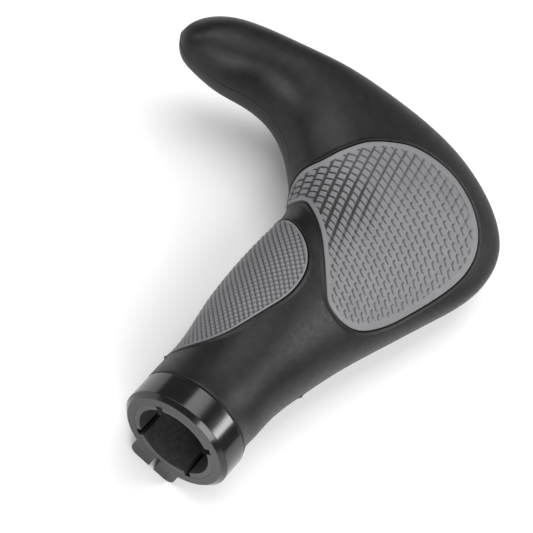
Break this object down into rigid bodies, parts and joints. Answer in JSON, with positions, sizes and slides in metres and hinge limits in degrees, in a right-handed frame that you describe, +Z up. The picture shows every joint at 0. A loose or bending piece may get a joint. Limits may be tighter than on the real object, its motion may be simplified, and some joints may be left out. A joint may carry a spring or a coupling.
{
  "type": "bar end grip",
  "caption": "Ergonomic lock-on handlebar grip with a palm rest wing, two soft textured pads, a forward-curving bar end horn and an aluminium clamp ring.",
  "frame": {"origin": "on the handlebar's axis, in the plane of the lock ring's inboard face", "axes": "+X outboard along the handlebar, +Y forward, the way the bar end reaches, +Z up"},
  "size_m": [0.1334, 0.1119, 0.0409],
  "materials": {
    "ring_anodised": "gloss black anodised",
    "screw_steel": "black oxide",
    "washer_steel": "zinc plated",
    "core_nylon": "glass-filled nylon, fine grain",
    "rubber_black": "matt moulded rubber",
    "pad_grey": "matt moulded soft rubber, raised relief"
  },
  "bodies": {
    "grip": {"core_sleeve": "core_nylon", "horn_core": "core_nylon", "core_screws": "screw_steel", "rubber_body": "rubber_black", "palm_pad": "pad_grey", "finger_pad": "pad_grey"},
    "lock_ring": {"lock_ring": "ring_anodised"},
    "clamp_washer": {"clamp_washer": "washer_steel"},
    "clamp_screw": {"clamp_screw": "screw_steel"}
  },
  "joints": [
    {"name": "lock_ring_slide", "type": "slide", "parent": "grip", "child": "lock_ring", "axis": [-1, 0, 0], "range_m": [0, 0.009]},
    {"name": "clamp_screw_travel", "type": "slide", "parent": "lock_ring", "child": "clamp_washer", "axis": [0, 1, 0], "range_m": [0, 0.0014]},
    {"name": "clamp_screw_turn", "type": "hinge", "parent": "clamp_washer", "child": "clamp_screw", "pos_m": [0.0045, 0.004, -0.0169], "axis": [0, 1, 0], "range_deg": [0, 722]}
  ],
  "couplings": [
    {"joint": "clamp_screw_turn", "follows": "clamp_screw_travel", "rad_per_m": 8976}
  ]
}
